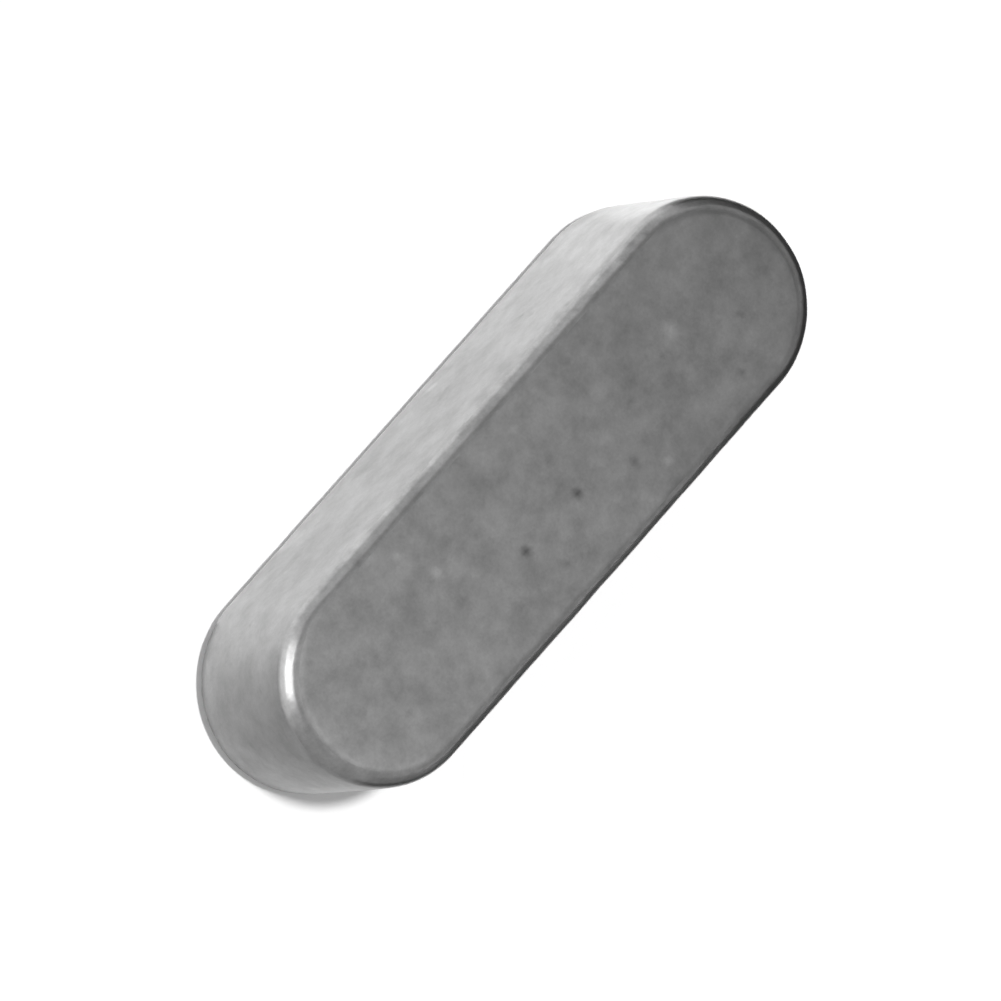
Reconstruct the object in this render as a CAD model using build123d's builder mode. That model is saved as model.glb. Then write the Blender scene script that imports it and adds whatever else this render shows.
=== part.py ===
from build123d import *

import os

# Parallel key, form A: a square bar of bright key steel with both ends milled to a full round. It
# drops into an end-milled keyseat in a shaft and stands partly proud of it, and there its two flanks
# drive a hub through the hub's own keyway. It is one solid piece of steel.
#
# Frame, in millimetres: +X runs along the key, +Y across it from flank to flank, and +Z up from the
# keyseat's floor towards the hub. The origin is the middle of the bottom face.

# Driving dimensions: size 6 x 6 x 20 in the metric series of parallel keys.
key_width = 6.0  # from flank to flank, the size that keyseat and keyway grip
key_height = 6.0  # from the bottom face to the top face
key_length = 20.0  # over both round ends
edge_chamfer = 0.38  # leg of the 45 degree chamfer round the top and bottom faces, 0.25 to 0.40
tumbled_radius = 0.2  # what barrel tumbling leaves on the chamfer's two corners

# The plan is a slot shape: straight flanks that run into a half circle of the key's own width at
# each end, so that the key fills a keyseat cut by an end mill as wide as itself.
with BuildPart() as parallel_key:
    with BuildSketch(Plane.XY):
        SlotOverall(key_length, key_width)
    extrude(amount=key_height)

    # The rim of each face is one unbroken loop, along both flanks and round both ends.
    face_rims = parallel_key.faces().filter_by(Plane.XY).edges()
    chamfer(face_rims, length=edge_chamfer)

    # The chamfer meets its face in one corner and the wall in another. Those corners are the only
    # edges that lie level, because every seam between a flat stretch and a round one is upright or
    # slopes down the chamfer.
    chamfer_corners = parallel_key.edges().filter_by(Plane.XY)
    fillet(chamfer_corners, radius=tumbled_radius)

parallel_key.part.label = "parallel_key"

os.makedirs("parts", exist_ok=True)
export_step(parallel_key.part, "parts/parallel_key.step")
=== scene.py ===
# %% [markdown]
# A parallel key, form A: a square bar of bright drawn steel whose two ends are milled to a full
# round. It sits in a slot in a shaft and drives the hub of a gear or a pulley. Here it lies on a
# pale bench under soft studio light. The frame below brings in the engineer's solid at its real
# size. Everything in this lesson is built around that solid, in metres, and nothing moves it.

# %% Load the frame
import math
import random

import bmesh
import bpy
from mathutils import Matrix, Vector, noise


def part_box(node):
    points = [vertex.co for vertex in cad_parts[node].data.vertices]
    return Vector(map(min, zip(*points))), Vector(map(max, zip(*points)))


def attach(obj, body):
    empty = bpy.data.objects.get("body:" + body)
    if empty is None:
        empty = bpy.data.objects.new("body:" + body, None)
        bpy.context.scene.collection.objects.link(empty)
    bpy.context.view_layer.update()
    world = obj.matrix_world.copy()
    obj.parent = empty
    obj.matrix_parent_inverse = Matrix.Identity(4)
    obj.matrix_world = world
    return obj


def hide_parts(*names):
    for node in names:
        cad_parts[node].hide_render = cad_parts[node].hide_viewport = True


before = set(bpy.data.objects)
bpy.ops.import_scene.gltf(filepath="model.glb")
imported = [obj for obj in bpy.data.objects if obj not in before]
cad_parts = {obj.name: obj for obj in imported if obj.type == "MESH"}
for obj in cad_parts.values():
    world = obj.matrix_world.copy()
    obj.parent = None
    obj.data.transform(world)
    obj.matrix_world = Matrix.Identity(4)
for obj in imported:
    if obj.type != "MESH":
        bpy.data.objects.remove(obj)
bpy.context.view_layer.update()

MM = 0.001
key_low, key_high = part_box("parallel_key")
key_middle = (key_low + key_high) / 2
key_size = key_high - key_low
key_radius = key_size.y / 2
end_axis = key_size.x / 2 - key_radius  # how far the axis of each round end stands from the middle
print("key, mm:", [round(side / MM, 3) for side in key_size])

# %% [markdown]
# ## Camera
# The camera looks down on the key from behind its left end, and is rolled by nearly a quarter
# turn, so that the key runs from the picture's lower left to its upper right. The lens is very
# long, like a macro lens used from far off, because the key's far edges look almost parallel to
# its near ones. A Track To constraint would aim a camera, but it can't roll one. So the camera's
# three axes are worked out here and written into its matrix.

# %% Camera
camera_azimuth = math.radians(230.03)  # round the key, from a camera that looks along +Y
camera_elevation = math.radians(64.97)
camera_roll = math.radians(84.30)
camera_distance = 0.603
picture_width = 26.90 * MM  # what the picture takes in from side to side, at the key
aim_right, aim_up = -0.116 * MM, -0.156 * MM  # from the key's middle to the picture's

camera_back = Vector((
    math.sin(camera_azimuth) * math.cos(camera_elevation),
    -math.cos(camera_azimuth) * math.cos(camera_elevation),
    math.sin(camera_elevation),
))
level_right = Vector((0, 0, 1)).cross(camera_back).normalized()
level_up = camera_back.cross(level_right)
camera_right = level_right * math.cos(camera_roll) + level_up * math.sin(camera_roll)
camera_up = camera_back.cross(camera_right)

camera_data = bpy.data.cameras.new("camera")
camera_data.sensor_width = 36
camera_data.lens = camera_data.sensor_width * camera_distance / picture_width
camera_data.clip_start = 0.01
camera_data.clip_end = 20
camera = bpy.data.objects.new("camera", camera_data)
bpy.context.collection.objects.link(camera)
camera_aim = key_middle + camera_right * aim_right + camera_up * aim_up
camera.matrix_world = Matrix.Translation(camera_aim + camera_back * camera_distance) @ Matrix(
    (camera_right, camera_up, camera_back)
).transposed().to_4x4()
bpy.context.scene.camera = camera
print("lens, mm:", round(camera_data.lens))

# %% [markdown]
# ## Building materials in code
# A material is a small tree of nodes. Three short helpers keep the trees readable: one makes a
# node and sets its options, one fills in its unlinked sockets by name, and one wires two nodes.


# %% Node helpers
def add_node(tree, kind, **options):
    """A new node of a kind, with its options set."""
    node = tree.nodes.new(kind)
    for option, value in options.items():
        setattr(node, option, value)
    return node


def fill(node, **values):
    """Set a node's input sockets by name, where a space in a name is written as an underscore."""
    for socket, value in values.items():
        node.inputs[socket.replace("_", " ")].default_value = value
    return node


def wire(tree, source, target):
    """Link one socket to another."""
    tree.links.new(source, target)


def empty_material(name):
    """A material with nothing in its tree but an output."""
    material = bpy.data.materials.new(name)
    material.use_nodes = True
    material.node_tree.nodes.clear()
    output = add_node(material.node_tree, "ShaderNodeOutputMaterial")
    return material, material.node_tree, output


def mesh_object(name, bm, material):
    """Put a finished bmesh into the scene as an object."""
    mesh = bpy.data.meshes.new(name)
    bm.to_mesh(mesh)
    bm.free()
    mesh.materials.append(material)
    thing = bpy.data.objects.new(name, mesh)
    bpy.context.collection.objects.link(thing)
    return thing


print("helpers ready")

# %% [markdown]
# ## Bench
# The bench is a wide pale sheet that catches the key's soft shadow. Its colour is the brightest
# that a real white paint has. A weak glow on camera, mirror and glass rays lifts it to the clean
# white of a studio table, and sends no more light to the key. The glow fades where the key covers
# the bench closely, so that the dark gap under its lower edge stays dark.


# %% Bench
bench_white = 0.88
bench_glow = 0.14
cover_reach = 1 * MM  # only what is nearer than this covers the bench
closed_share = 0.1  # how open a spot is where the glow is gone
open_enough = 0.45  # and where it is whole


def bench_paint():
    material, tree, output = empty_material("pale_bench")
    paint = fill(add_node(tree, "ShaderNodeBsdfDiffuse"), Color=(bench_white, bench_white, bench_white, 1))
    glow = add_node(tree, "ShaderNodeEmission")
    path = add_node(tree, "ShaderNodeLightPath")
    both = add_node(tree, "ShaderNodeAddShader")
    seen = None
    for ray in ("Is Camera Ray", "Is Glossy Ray", "Is Transmission Ray"):
        share = add_node(tree, "ShaderNodeMath", operation="MULTIPLY_ADD")
        share.inputs[1].default_value = bench_glow
        share.inputs[2].default_value = 0
        wire(tree, path.outputs[ray], share.inputs[0])
        if seen:
            wire(tree, seen, share.inputs[2])
        seen = share.outputs[0]
    cover = fill(add_node(tree, "ShaderNodeAmbientOcclusion"), Distance=cover_reach)
    open_share = fill(add_node(tree, "ShaderNodeMapRange"), From_Min=closed_share,
                      From_Max=open_enough)
    open_glow = add_node(tree, "ShaderNodeMath", operation="MULTIPLY")
    wire(tree, cover.outputs["AO"], open_share.inputs["Value"])
    wire(tree, seen, open_glow.inputs[0])
    wire(tree, open_share.outputs[0], open_glow.inputs[1])
    wire(tree, open_glow.outputs[0], glow.inputs["Strength"])
    wire(tree, paint.outputs[0], both.inputs[0])
    wire(tree, glow.outputs[0], both.inputs[1])
    wire(tree, both.outputs[0], output.inputs["Surface"])
    return material


def flat_sheet(name, width, depth, place, towards, material):
    """A sheet of one face, centred at a place and facing a direction."""
    bm = bmesh.new()
    bmesh.ops.create_grid(bm, x_segments=1, y_segments=1, size=0.5)
    bmesh.ops.scale(bm, vec=(width, depth, 1), verts=bm.verts)
    turn = Vector(towards).to_track_quat("Z", "Y").to_matrix().to_4x4()
    bmesh.ops.transform(bm, matrix=Matrix.Translation(place) @ turn, verts=bm.verts)
    sheet = mesh_object(name, bm, material)
    return sheet


bench_width = 40
bench = flat_sheet("bench", bench_width, bench_width, Vector((0, 0, key_low.z)), (0, 0, 1), bench_paint())
print("bench, m:", tuple(bench.dimensions))

# %% [markdown]
# ## Room
# Bright steel shows little of its own: what the eye reads as its shade is the room, smeared by
# the fine finish. So the room matters more here than the lamps. It is a soft ring of light, a
# little brighter on one side, that falls away to a dim ceiling. Where it meets the bench it is
# plain white, so that no horizon shows.

# %% Room
bright_side = math.radians(115)  # from +X towards +Y
ring_light = 0.68
ring_swing = 0.30  # how much brighter and darker than ring_light its two sides are
ceiling_light = 0.28

world = bpy.data.worlds.new("studio_room")
world.use_nodes = True
bpy.context.scene.world = world
tree = world.node_tree
tree.nodes.clear()
room_out = add_node(tree, "ShaderNodeOutputWorld")
room_light = add_node(tree, "ShaderNodeBackground")
looking = add_node(tree, "ShaderNodeTexCoord")
height = add_node(tree, "ShaderNodeSeparateXYZ")
sideways = add_node(tree, "ShaderNodeVectorMath", operation="DOT_PRODUCT")
sideways.inputs[1].default_value = (math.cos(bright_side), math.sin(bright_side), 0)
ring = add_node(tree, "ShaderNodeMath", operation="MULTIPLY_ADD")
ring.inputs[1].default_value = ring_swing
ring.inputs[2].default_value = ring_light
rise = fill(add_node(tree, "ShaderNodeMapRange", interpolation_type="SMOOTHSTEP"),
            From_Min=0.15, From_Max=0.65)
above = fill(add_node(tree, "ShaderNodeMix", data_type="FLOAT"), B=ceiling_light)
skyline = fill(add_node(tree, "ShaderNodeMapRange", interpolation_type="SMOOTHSTEP"),
               From_Min=0.03, From_Max=0.10)
whole = fill(add_node(tree, "ShaderNodeMix", data_type="FLOAT"), A=1.0)
wire(tree, looking.outputs["Generated"], sideways.inputs[0])
wire(tree, looking.outputs["Generated"], height.inputs[0])
wire(tree, sideways.outputs["Value"], ring.inputs[0])
wire(tree, height.outputs["Z"], rise.inputs["Value"])
wire(tree, height.outputs["Z"], skyline.inputs["Value"])
wire(tree, rise.outputs[0], above.inputs["Factor"])
wire(tree, ring.outputs[0], above.inputs["A"])
wire(tree, skyline.outputs[0], whole.inputs["Factor"])
wire(tree, above.outputs[0], whole.inputs["B"])
wire(tree, whole.outputs[0], room_light.inputs["Strength"])
wire(tree, room_light.outputs[0], room_out.inputs["Surface"])
print("room nodes:", len(tree.nodes))

# %% [markdown]
# ## Lamp
# One lamp stands almost overhead. It lights the bench and draws the dark crescent where the key's
# lower end meets the bench. It is kept out of the steel's reflections, where it would be a bright
# disc on the top face.

# %% Lamp
lamp_share = 0.77  # how much of a full white it gives the bench by itself
overhead_data = bpy.data.lights.new("overhead_lamp", "SUN")
overhead_data.angle = math.radians(4)
overhead_data.energy = lamp_share * math.pi
overhead_lamp = bpy.data.objects.new("overhead_lamp", overhead_data)
overhead_lamp.rotation_mode = "QUATERNION"
overhead_lamp.rotation_quaternion = Vector((-0.05, 0.14, 1)).to_track_quat("Z", "Y")
overhead_lamp.visible_glossy = False
bpy.context.collection.objects.link(overhead_lamp)

print("overhead lamp, W per square metre:", round(overhead_data.energy, 2))

# %% [markdown]
# ## Cards
# A photographer of small bright parts stands black and white cards just outside the picture,
# where the metal sees them and the camera doesn't. Black cards behind the far side draw the dark
# line along the far edge, which cuts the key out of the pale bench, and a narrow one lies at the
# foot of the left end. Grey cards lie and stand by that end, a white one lies by the long side,
# and a brighter one at the right-hand end. A shaded one hangs overhead, so that the top face is a
# little lighter at its left. A small bright strip behind the left end catches the broken edge
# there, the one spot on the key that glints. It stands close, so that only that end sees it. The
# cards show in reflections only, and take no light from the bench.


# %% Cards
def card_paint(name, shade, far_shade=None, reach=(0, 1)):
    """A card's shade, or two shades blended along X between the two ends of its reach."""
    material, tree, output = empty_material(name)
    glow = fill(add_node(tree, "ShaderNodeEmission"), Strength=shade)
    if far_shade is not None:
        where = add_node(tree, "ShaderNodeTexCoord")
        split = add_node(tree, "ShaderNodeSeparateXYZ")
        blend = fill(add_node(tree, "ShaderNodeMapRange"), From_Min=reach[0], From_Max=reach[1],
                     To_Min=shade, To_Max=far_shade)
        wire(tree, where.outputs["Object"], split.inputs[0])
        wire(tree, split.outputs["X"], blend.inputs["Value"])
        wire(tree, blend.outputs[0], glow.inputs["Strength"])
    wire(tree, glow.outputs[0], output.inputs["Surface"])
    return material


def swept_sheet(name, axis_x, first, second, turn_from, turn_to, material):
    """A strip round an upright axis: the line from first to second, each given as its distance
    from the axis and its height, is swept from one angle to the other."""
    bm = bmesh.new()
    ends = [bm.verts.new((axis_x + reach * math.cos(turn_from), reach * math.sin(turn_from), rise))
            for reach, rise in (first, second)]
    line = bm.edges.new(ends)
    bmesh.ops.spin(bm, geom=ends + [line], cent=(axis_x, 0, 0), axis=(0, 0, 1),
                   angle=turn_to - turn_from, steps=24, use_merge=False)
    sheet = mesh_object(name, bm, material)
    return sheet


def reflections_only(sheet):
    sheet.visible_camera = False
    sheet.visible_diffuse = False
    sheet.visible_shadow = False
    sheet.visible_transmission = False


glint_side = Vector((-0.615, 0.667, 0.42)).normalized()
glint_spot = Vector((-9.5, 2.2, 5.8)) * MM  # on the broken edge, where the glint belongs
glint_along = Vector((0, 0, 1)).cross(-glint_side).normalized()
glint_place = glint_spot + glint_side * 10 * MM + glint_along * 1 * MM
glint = card_paint("glint_card", 9.0)
black = card_paint("black_card", 0.02)
grey = card_paint("grey_card", 0.52, 1.0, (-11.2 * MM, -8.3 * MM))
upright_grey = card_paint("upright_grey_card", 0.40)
dark_grey = card_paint("dark_grey_card", 0.40, 1.0, (-12 * MM, -8.3 * MM))
shaded = card_paint("shaded_card", 0.72, 0.02, (-12 * MM, 53 * MM))
white = card_paint("white_card", 1.0, 1.40, (2 * MM, 9 * MM))
bright = card_paint("bright_card", 1.25, 1.85, (8 * MM, 10.5 * MM))
over_bench = 0.02 * MM
right_rise = 0.03 * MM  # clear of the long side's card, which it overlaps
end_height = 6.3 * MM
side_height = 5.5 * MM
black_reach = key_radius + 6 * MM
foot_gap = 0.35 * MM
foot = key_radius + foot_gap
cards = [
    swept_sheet("card_round_end", end_axis, (black_reach, 0), (black_reach, end_height),
                math.radians(-90), math.radians(50), black),
    flat_sheet("card_far_side", 24 * MM, side_height,
               Vector((-5 * MM, -black_reach, side_height / 2)), (0, 1, 0), black),
    swept_sheet("card_foot", -end_axis, (key_radius, over_bench), (key_radius + 0.22 * MM, over_bench),
                math.radians(100), math.radians(262), black),
    swept_sheet("card_left_near", -end_axis, (foot, over_bench), (foot + 1.1 * MM, over_bench),
                math.radians(98), math.radians(262), grey),
    swept_sheet("card_left_far", -end_axis, (foot + 1.1 * MM, over_bench), (foot + 9 * MM, over_bench),
                math.radians(98), math.radians(262), dark_grey),
    swept_sheet("card_left_upright", -end_axis, (foot + 9 * MM, 0), (foot + 9 * MM, 20 * MM),
                math.radians(165), math.radians(262), upright_grey),
    flat_sheet("card_long_side", 16 * MM, 2.2 * MM,
               Vector((1 * MM, foot + 1.1 * MM, over_bench)), (0, 0, 1), white),
    swept_sheet("card_right", end_axis, (foot, right_rise), (foot + 3.5 * MM, right_rise),
                math.radians(0), math.radians(62), bright),
    flat_sheet("card_glint", 8.6 * MM, 1.4 * MM, glint_place, -glint_side, glint),
    flat_sheet("card_above", 80 * MM, 80 * MM, Vector((13 * MM, -10 * MM, 42 * MM)), (0, 0, -1), shaded),
]
for card in cards:
    reflections_only(card)
print("cards:", len(cards))

# %% [markdown]
# ## The key: half of its section
# The real key is sawn from square bar, and a milling cutter then rounds its ends. Its top and
# bottom rims are broken with a small chamfer, so that it slips into its slot without a burr, and
# tumbling in a barrel of stones rubs the chamfer's corners round. A cube with a bevel would give
# that outline, but with long thin faces that can't take wear. So the section is drawn first, as
# one wire of points. Half of it is enough: from the middle of the top, out over the edge, down
# the wall and back to the middle of the bottom. Its two corners are bevelled once for the chamfer
# and once more for the worn corners, and the long stretches are cut up evenly.

# %% Half section
chamfer_leg = 0.38 * MM
tumbled_radius = 0.45 * MM
tumbled_segments = 9
grid_step = 0.12 * MM

bm = bmesh.new()
section_corners = [bm.verts.new(place) for place in (
    (end_axis, 0, key_high.z),
    (end_axis, -key_radius, key_high.z),
    (end_axis, -key_radius, key_low.z),
    (end_axis, 0, key_low.z),
)]
for above_corner, below_corner in zip(section_corners, section_corners[1:]):
    bm.edges.new((above_corner, below_corner))
bmesh.ops.bevel(bm, geom=section_corners[1:3], affect="VERTICES", offset=chamfer_leg,
                offset_type="OFFSET", segments=1, profile=0.5, material=-1)
chamfer_corners = [vert for vert in bm.verts if len(vert.link_edges) == 2]
eighth_turn_setback = math.tan(math.pi / 8)  # a 45 degree corner's arc starts this many radii away
bmesh.ops.bevel(bm, geom=chamfer_corners, affect="VERTICES",
                offset=tumbled_radius * eighth_turn_setback, offset_type="OFFSET",
                segments=tumbled_segments, profile=0.5, material=-1)
for edge in list(bm.edges):
    cuts = round(edge.calc_length() / grid_step) - 1
    if cuts > 0:
        bmesh.ops.subdivide_edges(bm, edges=[edge], cuts=cuts)
print("points in the half section:", len(bm.verts))

# %% [markdown]
# ## The key: a round end, its mirror, and the bar between
# Spun half a turn about the axis of the round end, the wire sweeps out that whole end. The first
# and last points of the wire lie on the axis, so they make a fan of copies there, which are
# merged into one. A mirror makes the other end. Both ends are open where the straight bar starts,
# so their rims are bridged and the bridge is cut into steps as long as those round the ends.

# %% Spin, mirror and bridge
arc_steps = 104
bmesh.ops.spin(bm, geom=bm.verts[:] + bm.edges[:], cent=(end_axis, 0, 0), axis=(0, 0, 1),
               angle=math.pi, steps=arc_steps, use_merge=False)
bmesh.ops.remove_doubles(bm, verts=bm.verts, dist=0.0001 * MM)
bmesh.ops.mirror(bm, geom=bm.verts[:] + bm.edges[:] + bm.faces[:], matrix=Matrix.Identity(4),
                 merge_dist=-1, axis="X")
rims = [edge for edge in bm.edges if edge.is_boundary]
bridge = bmesh.ops.bridge_loops(bm, edges=rims)
arc_step_length = math.pi * key_radius / arc_steps
bar_steps = round(2 * end_axis / arc_step_length)
bmesh.ops.subdivide_edges(bm, edges=bridge["edges"], cuts=bar_steps - 1, use_grid_fill=True)
bmesh.ops.recalc_face_normals(bm, faces=bm.faces)
print("faces:", len(bm.faces), "open edges:", sum(edge.is_boundary for edge in bm.edges))

# %% [markdown]
# ## Where a point lies on the key
# Wear and finish both need to know how near a point is to the broken edge. The key's spine is
# the line between the axes of its two ends: every point of the wall is one radius from it. How
# far a point stands out from the spine, added to how far it stands above or below mid-height, is
# the same all over the chamfer and falls off at an even rate on both sides of it.

# %% Distances on the key
chamfer_reach = key_radius + key_size.z / 2 - chamfer_leg


def outward(place):
    """How far a point is from the spine, and the level direction from the spine to it."""
    nearest = Vector((max(-end_axis, min(end_axis, place.x)), 0, place.z))
    way = place - nearest
    return way.length, way.normalized()


def edge_distance(place):
    """How far a point is from the chamfer, along the face or the wall that it is on."""
    out, _ = outward(place)
    return max(0, chamfer_reach - out - abs(place.z - key_middle.z))


def edge_direction(place):
    """The way that the nearest chamfer faces."""
    _, way = outward(place)
    return (way + Vector((0, 0, math.copysign(1, place.z - key_middle.z)))).normalized()


def fade(distance, width):
    """One at no distance, falling smoothly to nothing at the width."""
    t = max(0, 1 - distance / width)
    return t * t * (3 - 2 * t)


print("middle of the top to the chamfer, mm:", round(edge_distance(Vector((0, 0, key_high.z))) / MM, 2))

# %% [markdown]
# ## Wear in the metal
# A key comes out of the barrel with edges that wander a little, faces that are not quite flat, a
# few nicks along its edges and a few pits in its faces. Each of these goes inwards only, because
# wear takes metal away, and so the key stays inside its drawing size. A Displace modifier can
# move points by a noise, but not tell an edge from a face, so the points are moved here in code.
# Smooth noise from Blender's mathutils gives the same surface on every run. Each mark is a
# shallow bowl, and its depth is kept as an attribute, so that the finish can darken it.

# %% Wear
edge_wander = 0.030 * MM
edge_wander_period = 1.1 * MM
edge_wander_width = 0.35 * MM
shoulder_drop = 0.012 * MM
shoulder_width = 0.9 * MM
face_wave = 0.006 * MM
face_wave_period = 1.6 * MM

face_pits = [  # place on the top face in mm, radius and depth in mm
    ((-1.7, -0.6), 0.26, 0.030),
    ((0.5, -0.6), 0.23, 0.028),
    ((2.3, -1.2), 0.24, 0.014),
    ((6.3, -1.8), 0.18, 0.014),
    ((7.4, -0.7), 0.16, 0.012),
]
edge_nicks = [  # how far along the long near edge in mm, height in mm, radius and depth in mm
    (6.0, 5.9, 0.18, 0.010),
    (6.5, 5.8, 0.15, 0.016),
    (7.0, 5.9, 0.14, 0.018),
    (4.1, 5.9, 0.15, 0.014),
    (3.1, 5.8, 0.14, 0.012),
]


# Spots painted brighter: partly rubbed bright metal, partly painted highlights, such as the glint beside a
# nick.
rubbed_and_glint_spots = [  # place on the key in mm, and radius in mm
    ((5.6, 0.5, 6.0), 0.38),
    ((0.4, 1.9, 6.0), 0.22),
    ((-4.0, 0.9, 6.0), 0.26),
    ((-4.5, 2.0, 6.0), 0.22),
    ((3.0, -1.9, 6.0), 0.24),
    ((5.8, 2.8, 5.8), 0.22),
    ((3.9, 2.8, 5.9), 0.20),
    ((1.2, 3.0, 1.2), 0.30),
]


def wave(place, period, seed):
    """Smooth noise between nothing and one."""
    return (noise.noise(place / period + Vector((seed, -seed, 2 * seed))) + 1) / 2


marks = [(Vector((x, y, key_high.z / MM)) * MM, radius * MM, depth * MM)
         for (x, y), radius, depth in face_pits]
marks += [(Vector((x, key_radius / MM - 0.2, z)) * MM, radius * MM, depth * MM)
          for x, z, radius, depth in edge_nicks]

random.seed(6)
bm.verts.ensure_lookup_table()
scattered_marks = 46
for _ in range(scattered_marks):
    vert = bm.verts[random.randrange(len(bm.verts))]
    marks.append((vert.co.copy(), random.uniform(0.10, 0.20) * MM, random.uniform(0.004, 0.012) * MM))

bm.normal_update()
rest = [vert.co.copy() for vert in bm.verts]
normals = [vert.normal.copy() for vert in bm.verts]
mark_depth = [0.0] * len(rest)
rubbed_and_glint = [0.0] * len(rest)
for centre, radius, depth in marks:
    for index, place in enumerate(rest):
        if abs(place.x - centre.x) < radius:
            mark_depth[index] += depth * fade((place - centre).length, radius)
for spot, radius in rubbed_and_glint_spots:
    for index, place in enumerate(rest):
        rubbed_and_glint[index] = max(rubbed_and_glint[index], fade((place - Vector(spot) * MM).length, radius * MM))
for vert, place, normal, depth in zip(bm.verts, rest, normals, mark_depth):
    edge_share = fade(edge_distance(place), edge_wander_width)
    wander = edge_wander * edge_share * wave(place, edge_wander_period, 3.7)
    wander += shoulder_drop * fade(edge_distance(place), shoulder_width)
    dip = face_wave * (1 - edge_share) * wave(place, face_wave_period, 9.1)
    vert.co = place - edge_direction(place) * wander - normal * (dip + depth)
print("marks:", len(marks), "deepest, mm:", round(max(mark_depth) / MM, 3))

# %% [markdown]
# ## From bmesh to object
# Three attributes go with the mesh: how near each point is to a broken edge, how deep it lies in
# a mark, and how far it is painted brighter, as rubbed metal and as painted highlight. The
# finishes read them by name. The faces are sorted into four finishes here: the drawn top and
# bottom, the two flat sides, the milled walls of the ends, and the broken edge.

# %% Key object
drawn_index, side_index, milled_index, edge_index = range(4)
edge_layer = bm.verts.layers.float.new("edge")
mark_layer = bm.verts.layers.float.new("mark")
rub_and_glint_layer = bm.verts.layers.float.new("rub_and_glint")
deep_mark = 0.03 * MM
for vert, place, depth, rub_and_glint in zip(bm.verts, rest, mark_depth, rubbed_and_glint):
    vert[edge_layer] = fade(edge_distance(place), edge_wander_width)
    vert[mark_layer] = min(1, depth / deep_mark)
    vert[rub_and_glint_layer] = rub_and_glint

for face in bm.faces:
    centre = face.calc_center_median()
    out, _ = outward(centre)
    face.smooth = True
    if edge_distance(centre) < tumbled_radius * eighth_turn_setback / 2:
        face.material_index = edge_index
    elif out > key_radius - chamfer_leg:
        face.material_index = milled_index if abs(centre.x) > end_axis else side_index
    else:
        face.material_index = drawn_index

key_mesh = bpy.data.meshes.new("key_bar")
open_edges = sum(not edge.is_manifold for edge in bm.edges)
print("volume, cubic mm:", round(bm.calc_volume(signed=True) / MM ** 3, 2), "open edges:", open_edges)
bm.to_mesh(key_mesh)
bm.free()
key_bar = bpy.data.objects.new("key_bar", key_mesh)
bpy.context.collection.objects.link(key_bar)
key_mesh.calc_loop_triangles()
print("triangles:", len(key_mesh.loop_triangles))

# %% [markdown]
# ## Effects that the finishes share
# The finishes of one bar share most of what can be seen on them, so each effect is a node group
# that is built once. A group takes the place on the key in millimetres and gives back a value
# between nothing and one. Each finish then uses it at its own strength.


# %% Group helper
def effect_group(name, extra_inputs, output_name):
    """A node group that takes a place in mm, and more values, and gives back one value."""
    group = bpy.data.node_groups.new(name, "ShaderNodeTree")
    group.interface.new_socket("Place", in_out="INPUT", socket_type="NodeSocketVector")
    for socket_name, value in extra_inputs.items():
        kind = "NodeSocketVector" if isinstance(value, tuple) else "NodeSocketFloat"
        socket = group.interface.new_socket(socket_name, in_out="INPUT", socket_type=kind)
        socket.default_value = value
    group.interface.new_socket(output_name, in_out="OUTPUT", socket_type="NodeSocketFloat")
    return group, add_node(group, "NodeGroupInput"), add_node(group, "NodeGroupOutput")


print("group helper ready")

# %% [markdown]
# Clouding is the soft blotchy tone that a tumbled surface has, where the stones rubbed it more in
# one place than in the next. It is smooth noise of several sizes laid over each other.

# %% Clouding
clouding, given, result = effect_group("clouding", {"Size": 1.0}, "Cloud")
per_mm = add_node(clouding, "ShaderNodeMath", operation="DIVIDE")
per_mm.inputs[0].default_value = 1
cloud_noise = fill(add_node(clouding, "ShaderNodeTexNoise"), Detail=4.0, Roughness=0.68)
cloud_spread = fill(add_node(clouding, "ShaderNodeMapRange"), From_Min=0.22, From_Max=0.78)
wire(clouding, given.outputs["Size"], per_mm.inputs[1])
wire(clouding, per_mm.outputs[0], cloud_noise.inputs["Scale"])
wire(clouding, given.outputs["Place"], cloud_noise.inputs["Vector"])
wire(clouding, cloud_noise.outputs["Fac"], cloud_spread.inputs["Value"])
wire(clouding, cloud_spread.outputs[0], result.inputs["Cloud"])
print("clouding nodes:", len(clouding.nodes))

# %% [markdown]
# Grain is the fine matt tooth of the steel, near the smallest thing that the eye can see on it.

# %% Grain
grain, given, result = effect_group("grain", {"Size": 0.07}, "Grain")
per_mm = add_node(grain, "ShaderNodeMath", operation="DIVIDE")
per_mm.inputs[0].default_value = 1
grain_noise = fill(add_node(grain, "ShaderNodeTexNoise"), Detail=2.0, Roughness=0.6)
wire(grain, given.outputs["Size"], per_mm.inputs[1])
wire(grain, per_mm.outputs[0], grain_noise.inputs["Scale"])
wire(grain, given.outputs["Place"], grain_noise.inputs["Vector"])
wire(grain, grain_noise.outputs["Fac"], result.inputs["Grain"])
print("grain nodes:", len(grain.nodes))

# %% [markdown]
# Tumble marks are the small round dimples that stones and other keys knock into the surface. A
# Voronoi texture gives one random spot to each cell. A cell keeps its dimple only where its
# random colour is high enough, so the dimples stand apart and don't fall into a pattern.

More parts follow.
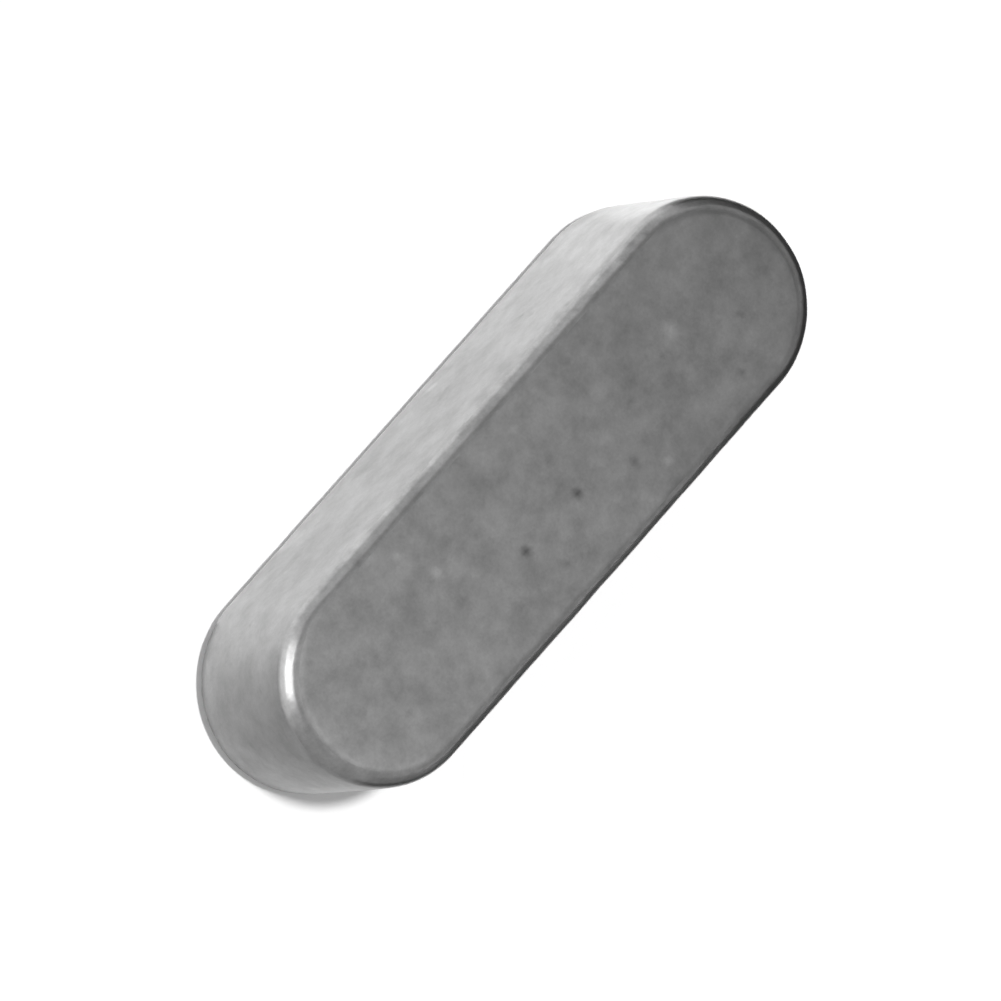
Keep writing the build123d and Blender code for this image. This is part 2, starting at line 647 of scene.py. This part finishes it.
# %% Tumble marks
tumble_marks, given, result = effect_group("tumble_marks", {"Spacing": 0.5}, "Dimple")
per_mm = add_node(tumble_marks, "ShaderNodeMath", operation="DIVIDE")
per_mm.inputs[0].default_value = 1
cells = add_node(tumble_marks, "ShaderNodeTexVoronoi", feature="F1")
bowl = fill(add_node(tumble_marks, "ShaderNodeMapRange", interpolation_type="SMOOTHSTEP"),
            From_Min=0.32, From_Max=0.0)
chance = add_node(tumble_marks, "ShaderNodeSeparateColor")
depth_share = fill(add_node(tumble_marks, "ShaderNodeMapRange"), From_Min=0.45, From_Max=1.0)
dimple = add_node(tumble_marks, "ShaderNodeMath", operation="MULTIPLY")
wire(tumble_marks, given.outputs["Spacing"], per_mm.inputs[1])
wire(tumble_marks, per_mm.outputs[0], cells.inputs["Scale"])
wire(tumble_marks, given.outputs["Place"], cells.inputs["Vector"])
wire(tumble_marks, cells.outputs["Distance"], bowl.inputs["Value"])
wire(tumble_marks, cells.outputs["Color"], chance.inputs[0])
wire(tumble_marks, chance.outputs[0], depth_share.inputs["Value"])
wire(tumble_marks, bowl.outputs[0], dimple.inputs[0])
wire(tumble_marks, depth_share.outputs[0], dimple.inputs[1])
wire(tumble_marks, dimple.outputs[0], result.inputs["Dimple"])
print("tumble mark nodes:", len(tumble_marks.nodes))

# %% [markdown]
# Hairlines are what a tool or a die leaves: fine lines in one direction. They are noise that is
# squeezed hard across the lines and stretched along them. On the drawn bar they run from end to
# end, and on a milled wall they stand upright.

# %% Hairlines
hairlines, given, result = effect_group("hairlines", {"Per mm": (0.3, 14.0, 14.0)}, "Line")
squeeze = add_node(hairlines, "ShaderNodeVectorMath", operation="MULTIPLY")
line_noise = fill(add_node(hairlines, "ShaderNodeTexNoise"), Scale=1.0, Detail=2.0, Roughness=0.55)
wire(hairlines, given.outputs["Place"], squeeze.inputs[0])
wire(hairlines, given.outputs["Per mm"], squeeze.inputs[1])
wire(hairlines, squeeze.outputs[0], line_noise.inputs["Vector"])
wire(hairlines, line_noise.outputs["Fac"], result.inputs["Line"])
print("hairline nodes:", len(hairlines.nodes))

# %% [markdown]
# ## Four finishes
# All four are bare steel: fully metallic, neutral grey, and satin rather than mirror. The
# clouding shifts both the grey and the gloss. Grain, dimples and hairlines are heights, added up
# in millimetres and handed to one Bump node, and the dimples are also painted a little darker.
# Towards the broken edge the steel is rubbed brighter and smoother. The marks are painted darker
# and rougher, the deeper the more. A few spots are painted brighter: partly rubbed metal, partly
# painted highlights, one of them the glint beside a nick on the near edge.


# %% Steel finish
def steel_finish(name, grey_level, gloss_roughness, cloud_size, cloud_strength, line_per_mm, line_height):
    material, tree, output = empty_material(name)
    shader = fill(add_node(tree, "ShaderNodeBsdfPrincipled"), Metallic=1.0)
    wire(tree, shader.outputs[0], output.inputs["Surface"])

    where = add_node(tree, "ShaderNodeTexCoord")
    place = add_node(tree, "ShaderNodeMapping")
    place.inputs["Scale"].default_value = (1 / MM, 1 / MM, 1 / MM)
    wire(tree, where.outputs["Object"], place.inputs["Vector"])

    def effect(group, **values):
        node = fill(add_node(tree, "ShaderNodeGroup", node_tree=group), **values)
        wire(tree, place.outputs[0], node.inputs["Place"])
        return node.outputs[0]

    def between(value, low, high, from_low=0.0, from_high=1.0):
        node = fill(add_node(tree, "ShaderNodeMapRange"), From_Min=from_low, From_Max=from_high,
                    To_Min=low, To_Max=high)
        wire(tree, value, node.inputs["Value"])
        return node.outputs[0]

    def combine(operation, first, second):
        node = add_node(tree, "ShaderNodeMath", operation=operation)
        wire(tree, first, node.inputs[0])
        wire(tree, second, node.inputs[1])
        return node.outputs[0]

    cloud = effect(clouding, Size=cloud_size)
    fine = effect(grain, Size=0.07)
    dimples = effect(tumble_marks, Spacing=0.55)
    lines = effect(hairlines, Per_mm=line_per_mm)
    edge = add_node(tree, "ShaderNodeAttribute", attribute_name="edge").outputs["Fac"]
    mark = add_node(tree, "ShaderNodeAttribute", attribute_name="mark").outputs["Fac"]
    rub_and_glint = add_node(tree, "ShaderNodeAttribute", attribute_name="rub_and_glint").outputs["Fac"]

    shade = between(cloud, grey_level * (1 - cloud_strength), grey_level * (1 + cloud_strength))
    shade = combine("MULTIPLY", shade, between(fine, 0.95, 1.05, 0.25, 0.75))
    shade = combine("MULTIPLY", shade, between(dimples, 1.0, 0.90))
    # The marks are painted darker, the deeper ones more.
    shade = combine("MULTIPLY", shade, between(mark, 1.0, 0.40))
    # Painted brighter at those spots: partly rubbed metal, partly painted highlight.
    shade = combine("MULTIPLY", shade, between(rub_and_glint, 1.0, 1.30))
    shade = combine("MULTIPLY", shade, between(edge, 1.0, 1.03))
    tint = add_node(tree, "ShaderNodeCombineColor")
    for channel in range(3):
        wire(tree, shade, tint.inputs[channel])
    wire(tree, tint.outputs[0], shader.inputs["Base Color"])

    gloss = between(cloud, gloss_roughness + 0.03, gloss_roughness - 0.03)
    gloss = combine("ADD", gloss, between(edge, 0.0, -0.02))
    gloss = combine("ADD", gloss, between(mark, 0.0, 0.12))
    wire(tree, gloss, shader.inputs["Roughness"])

    relief = between(fine, 0.0, 0.0012)
    relief = combine("ADD", relief, between(dimples, 0.0, -0.004))
    relief = combine("ADD", relief, between(lines, 0.0, line_height))
    relief = combine("ADD", relief, between(cloud, 0.0, 0.004))
    bump = fill(add_node(tree, "ShaderNodeBump"), Strength=1.0, Distance=MM)
    wire(tree, relief, bump.inputs["Height"])
    wire(tree, bump.outputs[0], shader.inputs["Normal"])
    return material


drawn_steel = steel_finish("drawn_steel", 0.478, 0.40, 0.9, 0.26, (0.25, 12.0, 12.0), 0.0006)
side_steel = steel_finish("side_steel", 0.475, 0.40, 0.9, 0.19, (0.25, 12.0, 12.0), 0.0006)
milled_steel = steel_finish("milled_steel", 0.475, 0.40, 0.9, 0.19, (9.0, 9.0, 0.25), 0.0012)
broken_edge_steel = steel_finish("broken_edge_steel", 0.480, 0.40, 0.6, 0.26, (0.6, 0.6, 0.6), 0.0006)
for finish in (drawn_steel, side_steel, milled_steel, broken_edge_steel):
    key_mesh.materials.append(finish)
print("finishes:", [finish.name for finish in key_mesh.materials])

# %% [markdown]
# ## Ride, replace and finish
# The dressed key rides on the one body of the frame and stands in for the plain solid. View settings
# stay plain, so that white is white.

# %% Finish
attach(key_bar, "root")
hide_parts("parallel_key")

bpy.context.scene.view_settings.view_transform = "Standard"
